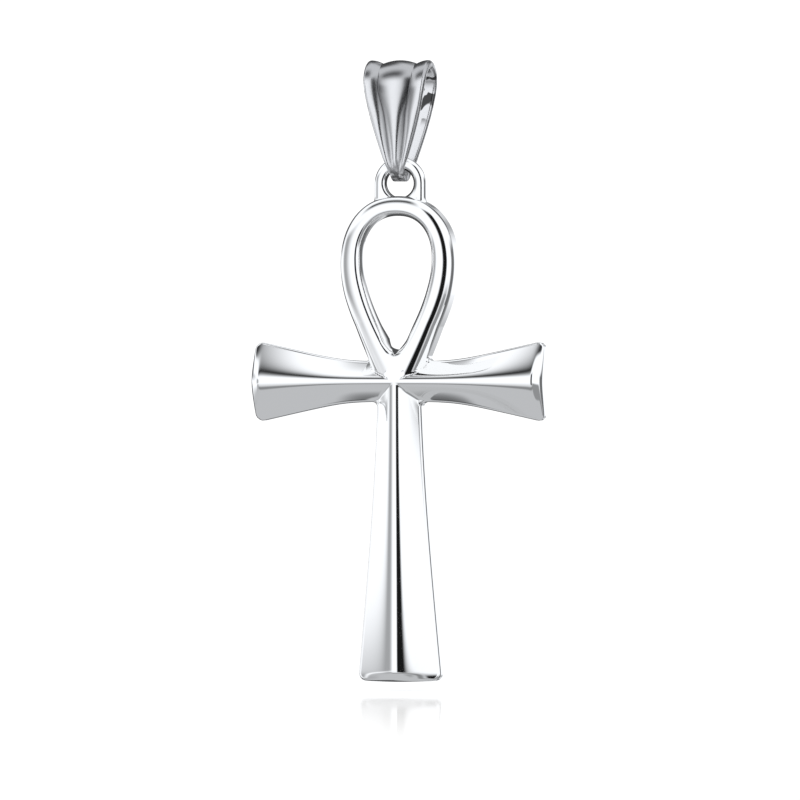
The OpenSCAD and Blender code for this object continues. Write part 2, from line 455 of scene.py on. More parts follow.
@dataclass(frozen=True)
class BailSilver:
    """Silver of the bail: softly polished ribs, painted shade in the grooves and at the top, darker blotches
    inside towards the top, and rough solder.

    Pairs named _z are heights in millimetres between which a look sets in or ends, and spots and pits are the
    levels of a noise between which those set in.
    """

    name: str = "bail_silver"
    ribs: Colour = (0.79, 0.79, 0.796, 1.0)
    # colour of the painted shade in the grooves
    groove_shade: Colour = (0.14, 0.14, 0.143, 1.0)
    # colour of the painted shade at the top
    top: Colour = (0.48, 0.48, 0.485, 1.0)
    # near-black colour of the blotches inside and of the solder's pits
    dark: Colour = (0.06, 0.06, 0.06, 1.0)
    top_shade_z: Pair = (-0.9, -0.2)
    inside_z: Pair = (-4.2, -3.2)
    solder_z: Pair = (-7.7, -7.2)
    spots: Pair = (0.5, 0.56)
    pits: Pair = (0.42, 0.6)
    pit_share: float = 0.8
    polish: float = 0.24
    solder_rough: float = 0.2

    def material(self) -> Material:
        """Makes the finish's nodes.

        Returns:
            The finish as a material.
        """
        material, m = new_material(self.name)
        place = m.place()
        height = m.parts(place)[2] / MM
        groove, inside = (
            m.value("ShaderNodeAttribute", out="Fac", attribute_name=name) for name in ("groove", "inside")
        )
        pits = m.noise(place, scale=2600.0, detail=2.0).ramp(*self.pits)
        spots = m.noise(place, scale=900.0, detail=1.0, distortion=0.8).ramp(*self.spots)
        solder = 1 - height.ramp(*self.solder_z)
        # painted shade: the grooves are darkened
        colour = m.mixed(self.ribs, self.groove_shade, groove)
        # painted shade: the outside of the band gets darker towards its top
        colour = m.mixed(colour, self.top, height.ramp(*self.top_shade_z) * (1 - inside))
        # darker blotches on the inside of the band towards its top
        colour = m.mixed(colour, self.dark, inside * height.ramp(*self.inside_z) * spots)
        colour = m.mixed(colour, self.dark, solder * pits * self.pit_share)
        m.end_metal(colour, self.polish + self.solder_rough * solder)
        return material


@dataclass(frozen=True)
class PaleFloor:
    """Pale paper with a light of its own, which mirrors faintly.

    The mirrored light fades out between the distances of gloss_fade, in millimetres.
    """

    name: str = "pale_floor"
    colour: Colour = (0.97, 0.97, 0.97, 1.0)
    glow: float = 1.05
    glow_share: float = 0.65
    gloss: float = 0.42
    gloss_rough: float = 0.05
    gloss_fade: Pair = (0.0, 160.0)

    def material(self) -> Material:
        """Makes the finish's nodes.

        Returns:
            The finish as a material.
        """
        material, m = new_material(self.name)
        white = (1.0, 1.0, 1.0, 1.0)
        matt = m.value("ShaderNodeBsdfDiffuse", {"Color": self.colour})
        lit = m.value("ShaderNodeEmission", {"Color": white, "Strength": self.glow})
        matt = m.value("ShaderNodeMixShader", {0: self.glow_share, 1: matt, 2: lit})
        mirror = m.value("ShaderNodeBsdfGlossy", {"Color": white, "Roughness": self.gloss_rough})
        x, y, _ = m.parts(m.place())
        share = self.gloss * (1 - (m.distance(x, y) / MM).ramp(*self.gloss_fade))
        m.end(m.value("ShaderNodeMixShader", {0: share, 1: matt, 2: mirror}))
        return material


class Axis(Enum):
    """The axis that a panel of the light tent is bent round."""

    UP = "up"
    ACROSS = "across"


@dataclass(frozen=True)
class Panel:
    """A panel of the light tent, as it is seen from the pendant, in degrees.

    Attributes:
        axis: The axis that it is bent round.
        start: Where it starts round the axis: 0 is straight in front, and it counts to the right or up.
        end: Where it ends round the axis.
        start_soft: Width of its soft edge at the start.
        end_soft: Width of its soft edge at the end.
        low: Where it starts along the axis.
        high: Where it ends along the axis.
        soft: Width of these two edges.
        glow: Its brightness.
    """

    axis: Axis
    start: float
    end: float
    start_soft: float
    end_soft: float
    low: float
    high: float
    soft: float
    glow: float

    def mask(self, turn: Value, level: Value) -> Value:
        """Returns 1 inside the panel and 0 outside it, from the angles round and along its axis."""
        along = level.band(self.low, self.high, self.soft, self.soft)
        return turn.band(self.start, self.end, self.start_soft, self.end_soft) * along


@dataclass(frozen=True)
class TentCloth:
    """Bright cloth of the light tent, and over it in order the panels that draw lines in the silver."""

    name: str = "tent_cloth"
    colour: tuple[float, float, float] = (0.945, 0.965, 1.0)
    glow: float = 1.12
    panels: tuple[Panel, ...] = (
        Panel(Axis.ACROSS, -135, -34, 30, 44, -66, 66, 16, 0.55),
        Panel(Axis.ACROSS, -60, -47, 7, 12, -60, 60, 20, 0.26),
        Panel(Axis.ACROSS, 54, 80, 28, 28, -45, 6, 16, 0.03),
        Panel(Axis.ACROSS, 128, 170, 20, 10, -70, 28, 20, 0.08),
        Panel(Axis.ACROSS, -174, -114, 8, 14, -60, -3, 8, 0.08),
        Panel(Axis.UP, -83, -44, 20, 40, -12, 16, 10, 0.4),
        Panel(Axis.UP, -84, -46, 20, 20, -42, -20, 8, 0.45),
        Panel(Axis.UP, 56, 84, 8, 8, -62, -14, 12, 0.3),
        Panel(Axis.UP, 144, 176, 14, 8, -50, -9, 8, 0.35),
        Panel(Axis.UP, 20, 49, 10, 8, -30, 50, 12, 0.01),
        Panel(Axis.UP, 94, 150, 18, 20, -45, 14, 14, 0.16),
        Panel(Axis.UP, -160, -131, 8, 10, -60, 60, 20, 0.08),
        Panel(Axis.UP, 174, 200, 8, 1, -60, 50, 30, 0.7),
        Panel(Axis.UP, -200, -177, 1, 6, -60, 50, 30, 0.7),
    )

    def material(self) -> Material:
        """Makes the finish's nodes.

        Returns:
            The finish as a material.
        """
        material, m = new_material(self.name)
        x, y, z = m.parts(m.value("ShaderNodeVectorMath", {0: m.place()}, operation="NORMALIZE"))
        degree = 180 / math.pi
        angles = {
            Axis.UP: (m.math("ARCTAN2", x, -1 * y) * degree, m.math("ARCSINE", z) * degree),
            Axis.ACROSS: (m.math("ARCTAN2", z, -1 * y) * degree, m.math("ARCSINE", x) * degree),
        }
        glow: Value | float = self.glow
        for panel in self.panels:
            glow = mix(glow, panel.glow, panel.mask(*angles[panel.axis]))
        colour = m.value("ShaderNodeVectorMath", {0: self.colour, "Scale": glow}, operation="SCALE")
        m.end(m.value("ShaderNodeEmission", {"Color": colour, "Strength": 1.0}))
        material.cycles.emission_sampling = "NONE"
        return material


# The pendant


@dataclass(frozen=True)
class FlaredLimb:
    """The crossbar or the shaft, which widens towards its end.

    It starts root_in past the middle of the cross. Its facets fall from the ridge to the walls, rounded at
    the ridge, and a bevel closes its end. The flare's place and softness are shares of the length.
    """

    length: float
    root_w: float
    end_w: float
    flare_at: float
    flare_soft: float
    wall: float
    end_wall: float
    ridge: float
    root_soft: float
    end_soft: float
    root_in: float
    bevel_len: float = 0.65
    bevel_drop: float = 0.67
    bevel_soft: float = 0.22
    corner_r: float = 0.6
    end_crown: float = 0.1
    edge_r: float = 0.14
    past_edge: float = 0.25

    def half(self, far: Array) -> Array:
        """Works out the flare.

        Args:
            far: Distances from the middle of the cross.

        Returns:
            Half the width there.
        """
        base = np.logaddexp(0, -self.flare_at / self.flare_soft)
        top = np.logaddexp(0, (1 - self.flare_at) / self.flare_soft)
        here = np.logaddexp(0, (np.maximum(far, 0) / self.length - self.flare_at) / self.flare_soft)
        return mix(self.root_w, self.end_w, (here - base) / (top - base)) / 2

    def depth(self, far: Array, across: Array, step: float = 0.01) -> Array:
        """Works out the outline.

        Args:
            far: Distances from the middle of the cross.
            across: Distances from the limb's own middle line.
            step: Length over which the outline's lean is measured.

        Returns:
            The depth inside the outline, negative outside it.
        """
        half = self.half(far)
        lean = (self.half(far + step) - self.half(far - step)) / (2 * step)
        side = (half - np.abs(across)) / np.hypot(1, lean)
        end = self.length - far - self.end_crown * (across / half) ** 2
        return np.minimum(trimmed(side, end, self.corner_r), far + self.root_in)

    def height(self, far: Array, across: Array) -> Array:
        """Works out the facets.

        Args:
            far: Distances from the middle of the cross.
            across: Distances from the limb's own middle line.

        Returns:
            The height over the flat back.
        """
        left = 1 - (self.length - far) / self.bevel_len
        crest = self.ridge - self.bevel_drop * (left + np.hypot(left, self.bevel_soft)) / 2
        share = np.clip(far / self.length, 0, 1)
        wall = mix(self.wall, self.end_wall, share)
        reach = self.half(far) - self.edge_r
        u, soft = np.abs(across) / reach, mix(self.root_soft, self.end_soft, share) / reach
        u = np.minimum(u, 1) + self.past_edge * np.maximum(u - 1, 0)
        facet = mix(crest, wall, (np.hypot(u, soft) - soft) / (np.hypot(1, soft) - soft))
        return facet + np.minimum(far, 0)


@dataclass
class LoopLimb:
    """The right limb of the loop, from the middle of the cross up and over the top.

    Its centreline leaves the middle at an angle of splay degrees, is widest at the share wide_at of its rise
    and closes as an ellipse made squarer by full. The ridge leans towards the opening, the outside swells
    at the root, and the limb gets thinner towards the top. The web is the metal under the opening.
    """

    rise: float
    spread: float
    limb_w: float
    limb_top_w: float
    ridge: float
    top_ridge: float
    wall: float = 1.5
    wide_at: float = 0.684
    splay: float = 29.0
    full: float = 2.2
    lean: float = 0.3
    thin_at: float = 0.75
    swell: float = 0.5
    swell_end: float = 0.5
    swell_fade: float = 1.2
    root_in: float = 0.5
    root_fall: float = 1.2
    web_from: float = 1.0
    web_to: float = 2.8
    steep: float = 12.0
    samples: int = 400
    past_top: int = 300
    spacing: float = 0.02
    smooth: int = 21

    def __post_init__(self) -> None:
        """Lays points along the centreline at even steps."""
        self.wide_z = self.rise * self.wide_at
        lead = math.tan(math.radians(self.splay)) * self.wide_z / self.spread
        v = np.linspace(0, 1, self.samples, endpoint=False)
        side_x = self.spread * (lead * v + (3 - 2 * lead) * v**2 + (lead - 2) * v**3)
        t = np.radians(np.linspace(0, 90, self.samples))
        power = 2 / self.full
        top_x = self.spread * np.maximum(np.cos(t), 0) ** power
        top_shade_z = self.wide_z + (self.rise - self.wide_z) * np.sin(t) ** power
        line = np.column_stack([np.concatenate([side_x, top_x]), np.concatenate([self.wide_z * v, top_shade_z])])
        start = -line[1:2] / np.linalg.norm(line[1]) * self.root_in
        line = np.vstack([start, line, line[::-1][1 : self.past_top] * (-1, 1)])
        run = np.concatenate([[0], np.cumsum(np.linalg.norm(np.diff(line, axis=0), axis=1))])
        self.s = np.arange(0, run[-1], self.spacing)
        self.points = np.column_stack([np.interp(self.s, run, line[:, k]) for k in (0, 1)])
        way = np.gradient(self.points, axis=0)
        kernel = np.hanning(self.smooth + 2)[1:-1]
        kernel /= kernel.sum()
        pad = self.smooth // 2
        padded = np.vstack([np.repeat(way[:1], pad, 0), way, np.repeat(way[-1:], pad, 0)])
        way = np.column_stack([np.convolve(padded[:, k], kernel, "valid") for k in (0, 1)])
        self.way = way / np.linalg.norm(way, axis=1)[:, None]

    def _along(self, far: Array) -> tuple[Array, Array, Array, Array]:
        """Returns the centreline's x, z and direction at distances along it."""
        return tuple(np.interp(far, self.s, a) for a in (*self.points.T, *self.way.T))

    def place(self, x: Array, z: Array) -> tuple[Array, Array, Array]:
        """Finds the nearest place on the centreline.

        Args:
            x: Places across.
            z: Places up.

        Returns:
            How far along the line it is, how far to the opening's side of it, and its height.
        """
        every, chunk, rounds, pull = 12, 20000, 8, 0.8
        near = np.empty(len(x))
        for first in range(0, len(x), chunk):
            part = slice(first, first + chunk)
            gap = (x[part, None] - self.points[None, ::every, 0]) ** 2
            gap = gap + (z[part, None] - self.points[None, ::every, 1]) ** 2
            near[part] = gap.argmin(1) * every
        far = near * self.spacing
        for _ in range(rounds):
            px, pz, wx, wz = self._along(far)
            far = np.clip(far + pull * ((x - px) * wx + (z - pz) * wz), 0, self.s[-1])
        px, pz, wx, wz = self._along(far)
        past = (x - px) * wx + (z - pz) * wz
        return far + past, -(x - px) * wz + (z - pz) * wx, pz

    def depth_and_height(self, x: Array, z: Array) -> Arrays:
        """Works out the outline and the round front.

        Args:
            x: Places across.
            z: Places up.

        Returns:
            The depth inside the outline, negative outside it, and the height over the flat back.
        """
        far, across, level = self.place(x, z)
        thin_z = self.wide_z * self.thin_at
        thin = np.clip((level - thin_z) / (self.rise - thin_z), 0, 1)
        half = mix(self.limb_w, self.limb_top_w, thin) / 2
        swell = self.swell * np.maximum(0, 1 - level / (self.wide_z * self.swell_end)) ** self.swell_fade
        left = self.s[-1] - far
        depth = np.minimum(np.minimum(across + half + swell, half - across), np.minimum(far, left))
        crest = self.lean * half
        inner = across > crest
        reach = np.where(inner, half - crest, half + swell + crest)
        u = np.abs(across - crest) / reach
        web = np.where(inner, ease(level, self.web_from, self.web_to), 1)
        ridge = mix(self.ridge, self.top_ridge, np.clip(level / self.wide_z, 0, 1))
        dome = mix(self.wall, ridge, np.sqrt(np.maximum(1 - (web * u) ** 2, 0)))
        dome = dome - self.steep * reach * np.maximum(u - 1, 0)
        fall = self.root_fall * np.minimum(far - self.root_in, 0) + self.steep * np.minimum(left, 0)
        return depth, dome + fall


@dataclass
class Skin:
    """A closed skin in the making: sheets and rings of points, their outward ways, and the faces."""

    points: list[Array] = field(default_factory=list)
    ways: list[Array] = field(default_factory=list)
    polygons: list[list[int]] = field(default_factory=list)

    def add(self, points: Array, ways: Array) -> Array:
        """Adds points.

        Args:
            points: The points.
            ways: Their outward directions.

        Returns:
            Their numbers.
        """
        first = sum(len(known) for known in self.points)
        self.points.append(points)
        self.ways.append(ways)
        return np.arange(first, first + len(points))

    def add_rings(self, ring: Array, rings: list[Array], ways: list[Array]) -> Array:
        """Carries the skin on from a closed ring of its points.

        Args:
            ring: Numbers of that ring's points.
            rings: The points of each new ring.
            ways: The outward directions at those points.

        Returns:
            Numbers of the last ring's points.
        """
        for points, way in zip(rings, ways):
            new = self.add(points, way)
            self.polygons += np.column_stack([ring, new, np.roll(new, -1), np.roll(ring, -1)]).tolist()
            ring = new
        return ring

    def close(self, rings: list[Array], outlines: list[list[Vector]]) -> None:
        """Fills a flat end, whose outline is the first ring and whose holes are the others."""
        numbers = np.concatenate(rings)
        self.polygons += [[int(numbers[k]) for k in corner] for corner in tessellate_polygon(outlines)]

    def made(self, name: str, material: Material) -> Object:
        """Makes the object, shaded by its outward directions.

        Args:
            name: Name of the new object.
            material: The material that it gets.

        Returns:
            The new object, in metres.
        """
        mesh = bpy.data.meshes.new(name)
        mesh.from_pydata((np.vstack(self.points) * MM).tolist(), [], self.polygons)
        mesh.validate(clean_customdata=False)
        work = bmesh.new()
        work.from_mesh(mesh)
        bmesh.ops.recalc_face_normals(work, faces=work.faces)
        work.to_mesh(mesh)
        work.free()
        mesh.polygons.foreach_set("use_smooth", [True] * len(mesh.polygons))
        ways = np.vstack(self.ways)
        mesh.normals_split_custom_set_from_vertices((ways / np.linalg.norm(ways, axis=1)[:, None]).tolist())
        mesh.materials.append(material)
        return add_object(name, mesh)


@dataclass
class Ankh:
    """The cross with its loop, as one skin over a front that has a height at each place.

    Heights count from the flat back and places from the middle of the cross. Pairs are the heights between
    which something sets in or ends, and web_x the distances from the middle. The web is the metal under
    the opening. The front lies on a grid up to a depth of rim, and rings go on from there to the back.
    """

    plan: Plan
    back_y: float = 0.62
    arm_reach: float = 11.22
    shaft_len: float = 22.5
    loop_w: float = 8.9
    limb_w: float = 1.85
    ridge_h: float = 2.7
    loop_ridge_h: float = 2.35
    ridge_step: float = 0.02
    loop_draft: float = 0.35
    edge_r: float = 0.21
    loop_edge_r: float = 0.1
    loop_edge_z: Pair = (1.2, 3.5)
    web_edge: float = 0.4
    web_x: Pair = (1.0, 1.5)
    web_low: Pair = (1.2, 1.8)
    web_high: Pair = (3.0, 4.5)
    corner_fillet: float = 0.4
    web_fillet: float = 0.4
    valley_fillet: float = 0.35
    crest_clear: float = 0.6
    crest_share: float = 0.1
    fillet_end: Pair = (4.5, 7.0)
    loop_from: float = -2.0
    back_round: float = 0.08
    pitch: float = 0.08
    margin: float = 0.5
    rim: float = 0.31
    rim_steps: int = 12
    wall_at: tuple[float, ...] = (0.3, 0.65, 1.0)
    round_at: tuple[float, ...] = (30.0, 60.0, 90.0)

    def __post_init__(self) -> None:
        """Makes the limbs. The crossbar is worked out on one side and mirrored, so it needs no root."""
        self.bar = FlaredLimb(
            length=self.arm_reach, root_w=3.05, end_w=6.15, flare_at=0.38, flare_soft=0.08, wall=1.1,
            end_wall=0.8, ridge=self.ridge_h, root_soft=0.5, end_soft=0.75, root_in=100.0,
        )
        self.shaft = FlaredLimb(
            length=self.shaft_len, root_w=3.3, end_w=6.45, flare_at=0.2, flare_soft=0.2, wall=1.2,
            end_wall=0.9, ridge=self.ridge_h - self.ridge_step, root_soft=0.75, end_soft=0.45, root_in=0.5,
        )
        self.limb = LoopLimb(
            rise=self.plan.loop_len - self.plan.limb_top_w / 2, spread=(self.loop_w - self.limb_w) / 2,
            limb_w=self.limb_w, limb_top_w=self.plan.limb_top_w, ridge=self.ridge_h - 2 * self.ridge_step,
            top_ridge=self.loop_ridge_h,
        )

    def _filled(self, a: Array, b: Array, valley: Array) -> Array:
        """Returns the higher of two limbs' facets, with a fillet that fades out towards their crests."""
        under = (self.ridge_h - np.maximum(a, b)) / self.crest_clear
        return soft_max(a, b, valley * np.clip(under, self.crest_share, 1))

    def _fields(self, x: Array, z: Array) -> Arrays:
        """Joins the limbs.

        Args:
            x: Places across.
            z: Places up.

        Returns:
            The depth inside the whole outline and the height of all the facets.
        """
        tiny = 1e-4
        fade = 1 - ease(z, *self.fillet_end)
        fillet = tiny + self.corner_fillet * fade
        valley = tiny + self.valley_fillet * fade
        depth = joined(self.bar.depth(np.abs(x), z), self.shaft.depth(-z, x), fillet)
        height = self._filled(self.bar.height(np.abs(x), z), self.shaft.height(-z, x), valley)
        upper = z > self.loop_from
        if np.any(upper):
            right_depth, right_height = self.limb.depth_and_height(x[upper], z[upper])
            left_depth, left_height = self.limb.depth_and_height(-x[upper], z[upper])
            loop_depth = joined(right_depth, left_depth, (fillet + self.web_fillet * fade)[upper])
            depth[upper] = joined(depth[upper], loop_depth, fillet[upper])
            height[upper] = self._filled(height[upper], np.maximum(right_height, left_height), valley[upper])
        return depth, np.minimum(height, self.ridge_h)

    def depth(self, x: Array, z: Array) -> Array:
        """Returns the depth inside the outline, negative outside it."""
        return self._fields(x, z)[0]

    def facets(self, x: Array, z: Array) -> Array:
        """Returns the height of the facets, without the rounding of their edges."""
        return self._fields(x, z)[1]

    def edge(self, x: Array, z: Array) -> Array:
        """Returns the rounding between the facets and the side walls, which is softer under the opening."""
        web = (1 - ease(np.abs(x), *self.web_x)) * ease(z, *self.web_low) * (1 - ease(z, *self.web_high))
        return mix(self.edge_r, self.loop_edge_r, ease(z, *self.loop_edge_z)) + self.web_edge * web

    def front(self, x: Array, z: Array) -> Arrays:
        """Works out the front skin.

        Args:
            x: Places across.
            z: Places up.

        Returns:
            The points of the skin and its outward directions.
        """
        depth, height = self._fields(x, z)
        edge = self.edge(x, z)
        out = np.clip(1 - depth / edge, 0, 1)
        level = np.sqrt(1 - out**2)
        fx, fz = slopes(self.facets, x, z)
        dx, dz = slopes(self.depth, x, z)
        way = np.column_stack([-fx * level - dx * out, -level, -fz * level - dz * out])
        return self._points(x, z, height - edge * (1 - level)), way / np.linalg.norm(way, axis=1)[:, None]

    def _points(self, x: Array, z: Array, height: Quantity) -> Array:
        """Returns points at a height over the flat back."""
        return np.column_stack([x, self.back_y - height + 0 * x, z + self.plan.cross_z])

    def _to_depth(self, x: Array, z: Array, wanted: float) -> Arrays:
        """Moves places along the slope of the depth.

        Args:
            x: Places across.
            z: Places up.
            wanted: The depth that they go to.

        Returns:
            Their new places.
        """
        rounds, least = 4, 0.05
        for _ in range(rounds):
            dx, dz = slopes(self.depth, x, z)
            pull = (wanted - self.depth(x, z)) / np.maximum(dx**2 + dz**2, least)
            x, z = x + pull * dx, z + pull * dz
        return x, z

    def build(self, material: Material) -> Object:
        """Builds the skin and dresses it.

        Args:
            material: The silver.

        Returns:
            The new object, in metres.
        """
        skin = Skin()
        rings, outlines = [], []
        for rim, x, z in self._lay_front(skin):
            side, ways, outline = self._side(x, z)
            rings.append(skin.add_rings(rim, side, ways))
            outlines.append(outline)
        skin.close(rings, outlines)
        return skin.made("ankh_cross", material)

    def _lay_front(self, skin: Skin) -> list[tuple[Array, Array, Array]]:
        """Lays the front on a square grid and cuts it along the rim.

        Args:
            skin: The skin that gets the front.

        Returns:
            For each closed rim the numbers of its points and their places across and up.
        """
        gx = np.arange(-self.arm_reach - self.margin, self.arm_reach + self.margin, self.pitch)
        gz = np.arange(-self.shaft_len - self.margin, self.plan.loop_len + self.margin, self.pitch)
        x, z = (a.ravel() for a in np.meshgrid(gx + 0.5 * self.pitch, gz))
        value = self.depth(x, z) - self.rim
        inside = value > 0
        number = np.cumsum(inside) - 1
        cell = np.arange(len(x)).reshape(len(gz), len(gx))
        cell = np.stack([cell[:-1, :-1], cell[:-1, 1:], cell[1:, 1:], cell[1:, :-1]], -1).reshape(-1, 4)
        full = inside[cell]
        skin.polygons += number[cell[full.all(1)]].tolist()
        crossing, links = self._cut(cell[full.any(1) & ~full.all(1)], inside, number, skin)
        a, b = np.array(list(crossing)).T
        least = 0.03
        share = np.clip(value[a] / (value[a] - value[b]), least, 1 - least)
        cx, cz = self._to_depth(mix(x[a], x[b], share), mix(z[a], z[b], share), self.rim)
        skin.add(*self.front(np.concatenate([x[inside], cx]), np.concatenate([z[inside], cz])))
        rims = []
        while links:
            here = next(iter(links))
            loop = []
            while here in links:
                loop.append(here)
                here = links.pop(here)
            assert here == loop[0], "the rim isn't closed"
            rim = np.array(loop)
            at = rim - inside.sum()
            rims.append((rim, cx[at], cz[at]))
        return rims

    def _cut(self, cells: Array, inside: Array, number: Array, skin: Skin) -> tuple[dict, dict]:
        """Cuts cells of the grid along the rim.

        Args:
            cells: The four places of each cell that the rim crosses.
            inside: Which places of the grid lie within the rim.
            number: The point numbers of those that do.
            skin: The skin that gets the inner part of each cell.

        Returns:
            The numbers of the rim's points by the two places on both sides of each, and each one's next.
        """
        crossing, links = {}, {}
        for cell in cells.tolist():
            polygon, cuts = [], []
            for a, b in zip(cell, cell[1:] + cell[:1]):
                if inside[a]:
                    polygon.append(int(number[a]))
                if inside[a] != inside[b]:
                    cut = crossing.setdefault((min(a, b), max(a, b)), int(number[-1]) + 1 + len(crossing))
                    polygon.append(cut)
                    cuts.append((cut, inside[a]))
            skin.polygons.append(polygon)
            for k, (cut, leaving) in enumerate(cuts):
                if leaving:
                    links[cut] = cuts[(k + 1) % len(cuts)][0]
        return crossing, links

    def _side(self, x: Array, z: Array) -> tuple[list[Array], list[Array], list[Vector]]:
        """Carries the skin from its rim over the rounded edge and down the wall to the back.

        Args:
            x: Places of the rim across.
            z: Places of the rim up.

        Returns:
            The rings of points, their outward directions, and the last ring as it is seen from the front.
        """
        rings, ways = [], []
        for step in range(self.rim_steps - 1, -1, -1):
            x, z = self._to_depth(x, z, self.rim * (1 - math.cos(math.pi / 2 * step / self.rim_steps)))
            ring, way = self.front(x, z)
            rings.append(ring)
            ways.append(way)
        dx, dz = slopes(self.depth, x, z)
        size = np.hypot(dx, dz)
        dx, dz = dx / size, dz / size
        draft = self.loop_draft if np.abs(x).max() < self.loop_w / 2 else 0.0
        top = self.back_y - rings[-1][:, 1]
        for share in self.wall_at:
            height = mix(top, self.back_round, share)
            shift = draft * (1 - height / top)
            rings.append(self._points(x + shift * dx, z + shift * dz, height))
            ways.append(np.column_stack([-dx, np.full(len(x), draft / self.limb.wall), -dz]))
        for turn in np.radians(self.round_at):
            sine, cosine = math.sin(turn), math.cos(turn)
            shift = draft + self.back_round * (1 - cosine)
            rings.append(self._points(x + shift * dx, z + shift * dz, self.back_round * (1 - sine)))
            ways.append(np.column_stack([-dx * cosine, np.full(len(x), sine), -dz * cosine]))
        return rings, ways, [Vector((px, pz, 0)) for px, pz in zip(x + shift * dx, z + shift * dz)]


@dataclass
class HangingRing:
    """The ring on top of the loop, with its two legs and their solder.

    Wire and solder become one skin as fine as voxel, which the rounds of melt run together, and the back is
    filed flat. The painted shade round the hole is centred hole_shade_x right of the hole's middle.
    """

    plan: Plan
    solder: float = 0.24
    solder_rise: float = 3.2
    back_y: float = 0.58
    voxel: float = 0.035
    melt: int = 10
    hole_shade_x: float = 0.07

    def build(self) -> Object:
        """Grows the ring from its tree.

        Returns:
            The new object, in metres.
        """
        sizes = {
            "wire": self.plan.ring_wire, "hole": self.plan.ring_hole, "ring_z": self.plan.ring_z,
            "leg_z": self.plan.leg_z, "solder": self.solder, "back_y": self.back_y, "voxel": self.voxel,
        }
        grower = GrowingTree("soldered_ring", sizes)
        m = grower.maker
        wire, hole, ring_z, leg_z, solder, back_y, voxel = map(grower.size, sizes)
        radius = (hole + wire) / 2
        circle = "GeometryNodeCurvePrimitiveCircle"
        section = m.value(circle, {"Resolution": 40, "Radius": wire / 2}, "Curve")
        line = m.value(circle, {"Resolution": 120, "Radius": radius}, "Curve")
        ring = m.value("GeometryNodeCurveToMesh", {"Curve": line, "Profile Curve": section})
        upright = {"Translation": m.vector(0.0, 0.0, ring_z), "Rotation": (math.pi / 2, 0.0, 0.0)}
        ring = m.value("GeometryNodeTransform", {"Geometry": ring, **upright})
        ends = {"Start": (0.0, 0.0, 0.0), "End": m.vector(0.0, 0.0, ring_z - leg_z)}
        line = m.value("GeometryNodeCurvePrimitiveLine", ends)
        line = m.value("GeometryNodeResampleCurve", {"Curve": line, "Count": 60})
        up = m.parts(m.value("GeometryNodeInputPosition"))[2]
        swell = (1 - up / (self.solder_rise * solder)).at_least(0.0) ** 2.0
        stout = 1 + swell * solder / (wire / 2)
        line = m.value("GeometryNodeSetCurveRadius", {"Curve": line, "Radius": stout})
        swept = {"Curve": line, "Profile Curve": section, "Scale": m.value("GeometryNodeInputRadius")}
        leg = m.value("GeometryNodeCurveToMesh", {**swept, "Fill Caps": True})
        left, right = (m.vector(side * radius, 0.0, leg_z) for side in (-1, 1))
        ends = {"Count": 2, "Start Location": left, "Offset": right}
        spots = m.value("GeometryNodeMeshLine", ends, mode="END_POINTS")
        legs = m.value("GeometryNodeInstanceOnPoints", {"Points": spots, "Instance": leg})
        legs = m.value("GeometryNodeRealizeInstances", {"Geometry": legs})
        both = m.node("GeometryNodeJoinGeometry")
        for shape in (legs, ring):
            m.tree.links.new(shape.socket, both.inputs[0])
        cloud = {"Mesh": Value(m, both.outputs[0]), "Voxel Size": voxel, "Interior Band Width": 4 * voxel}
        cloud = m.value("GeometryNodeMeshToVolume", cloud, resolution_mode="VOXEL_SIZE")
        skin = {"Volume": cloud, "Voxel Size": voxel, "Threshold": 0.1}
        skin = m.value("GeometryNodeVolumeToMesh", skin, resolution_mode="VOXEL_SIZE")
        melted = {"Value": m.value("GeometryNodeInputPosition"), "Iterations": self.melt}
        x, y, z = m.parts(m.value("GeometryNodeBlurAttribute", melted, data_type="FLOAT_VECTOR"))
        filed = m.vector(x, y.at_most(back_y), z)
        skin = m.value("GeometryNodeSetPosition", {"Geometry": skin, "Position": filed})
        # the ring's silver gets painted shade round its hole
        silver = Silver("ring_silver", hole=(self.hole_shade_x, self.plan.ring_z))
        return grower.grow("ankh_ring", skin, silver.material())


